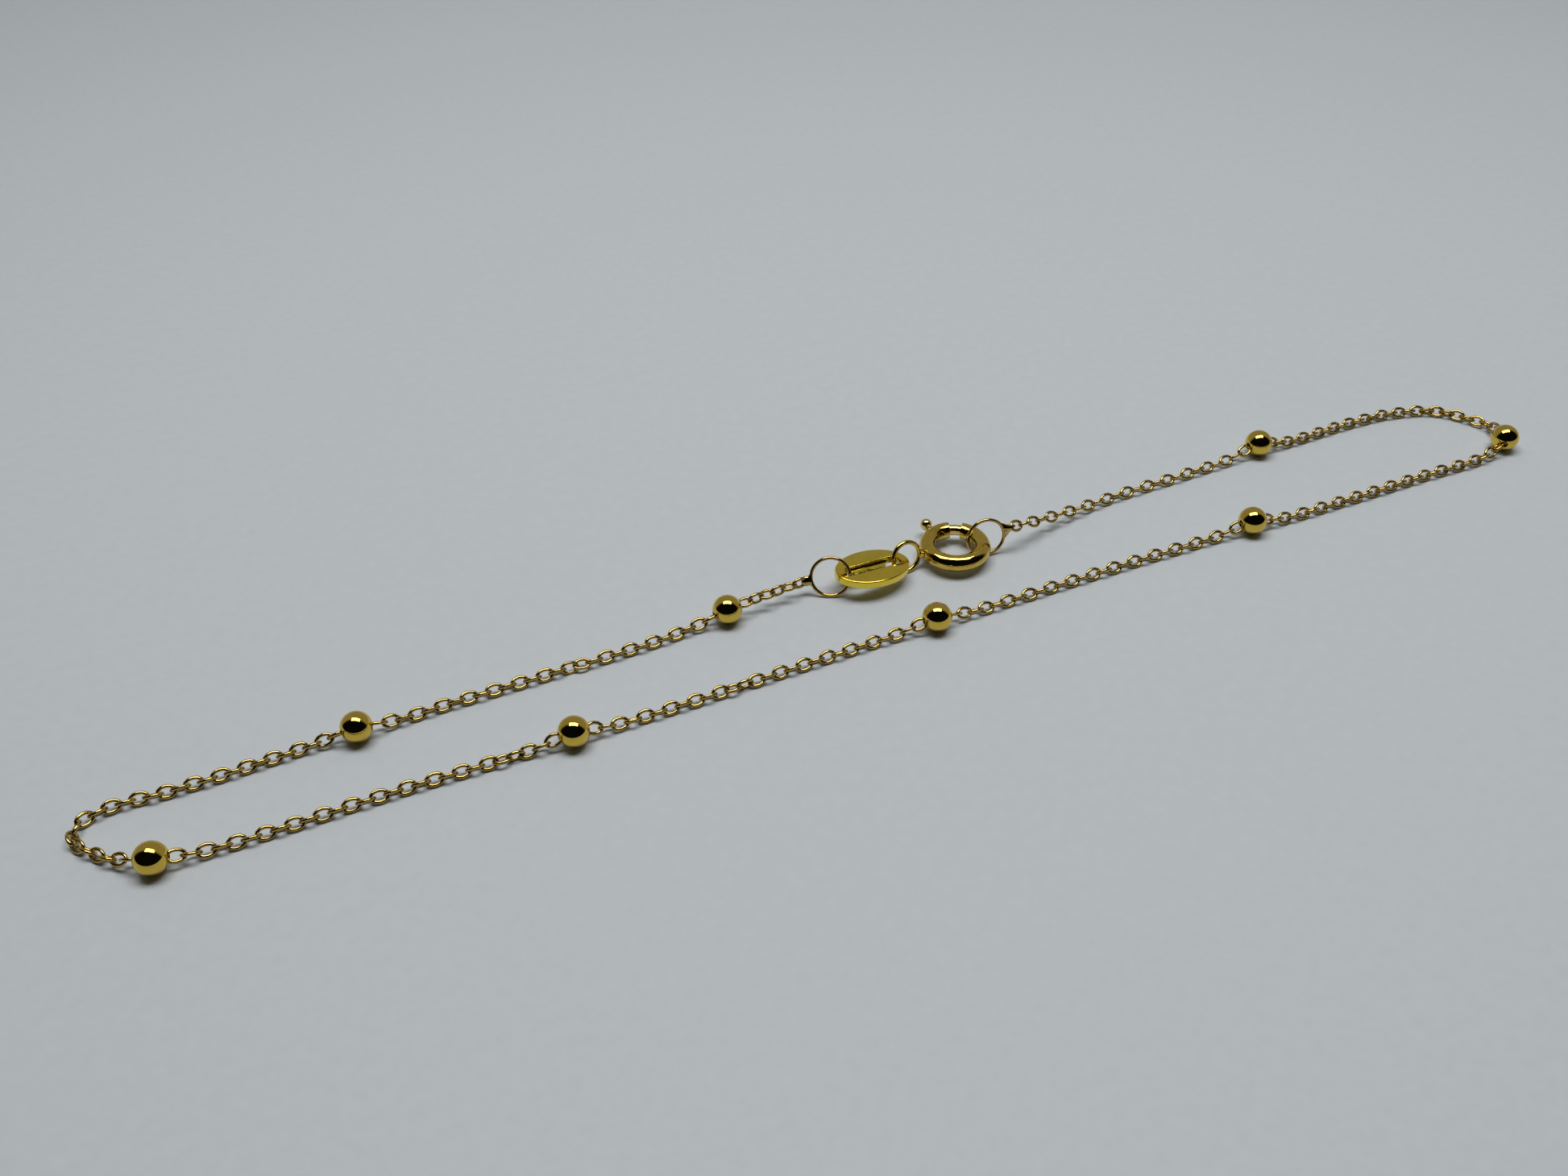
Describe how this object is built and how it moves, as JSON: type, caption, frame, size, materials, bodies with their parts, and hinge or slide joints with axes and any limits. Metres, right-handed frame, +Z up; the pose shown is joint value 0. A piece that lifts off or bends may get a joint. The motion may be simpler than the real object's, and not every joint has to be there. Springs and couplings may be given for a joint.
{
  "type": "beaded bracelet",
  "caption": "Fine cable chain bracelet with small round metal beads spaced along it, a spring ring clasp and an open oval tag, lying as a long narrow closed loop.",
  "frame": {"origin": "on the surface that the bracelet lies on, under the middle of its box", "axes": "+X along the long narrow loop, from the tag to the clasp; +Y across the loop, towards the strand that carries the clasp; +Z up"},
  "size_m": [0.1046, 0.011, 0.0028],
  "materials": {
    "bead_gold": "yellow gold, mirror polished",
    "chain_gold": "yellow gold, polished, with diamond-cut facets",
    "clasp_gold": "yellow gold, polished, with fine wear",
    "bolt_gold": "pale yellow gold, polished",
    "tag_gold": "yellow gold, softly polished face and bright rim",
    "ring_gold": "yellow gold wire, polished, with solder fillets"
  },
  "bodies": {
    "bracelet": {"bead_1": "bead_gold", "bead_2": "bead_gold", "bead_3": "bead_gold", "bead_4": "bead_gold", "bead_5": "bead_gold", "bead_6": "bead_gold", "bead_7": "bead_gold", "bead_8": "bead_gold", "chain_run_1": "chain_gold", "chain_run_2": "chain_gold", "chain_run_3": "chain_gold", "chain_run_4": "chain_gold", "chain_run_5": "chain_gold", "chain_run_6": "chain_gold", "chain_run_7": "chain_gold", "chain_run_8": "chain_gold", "chain_run_9": "chain_gold", "clasp_ring": "clasp_gold", "tag": "tag_gold", "jump_ring_left": "ring_gold", "jump_ring_right": "ring_gold"},
    "bolt": {"clasp_bolt": "bolt_gold"}
  },
  "joints": [
    {"name": "bolt_slide_round", "type": "hinge", "parent": "bracelet", "child": "bolt", "pos_m": [0.0065, 0.00193, 0.00098], "axis": [0, 0, 1], "range_deg": [0, 35], "stiffness_Nm_per_rad": 0.001, "springref_deg": -28.65}
  ]
}
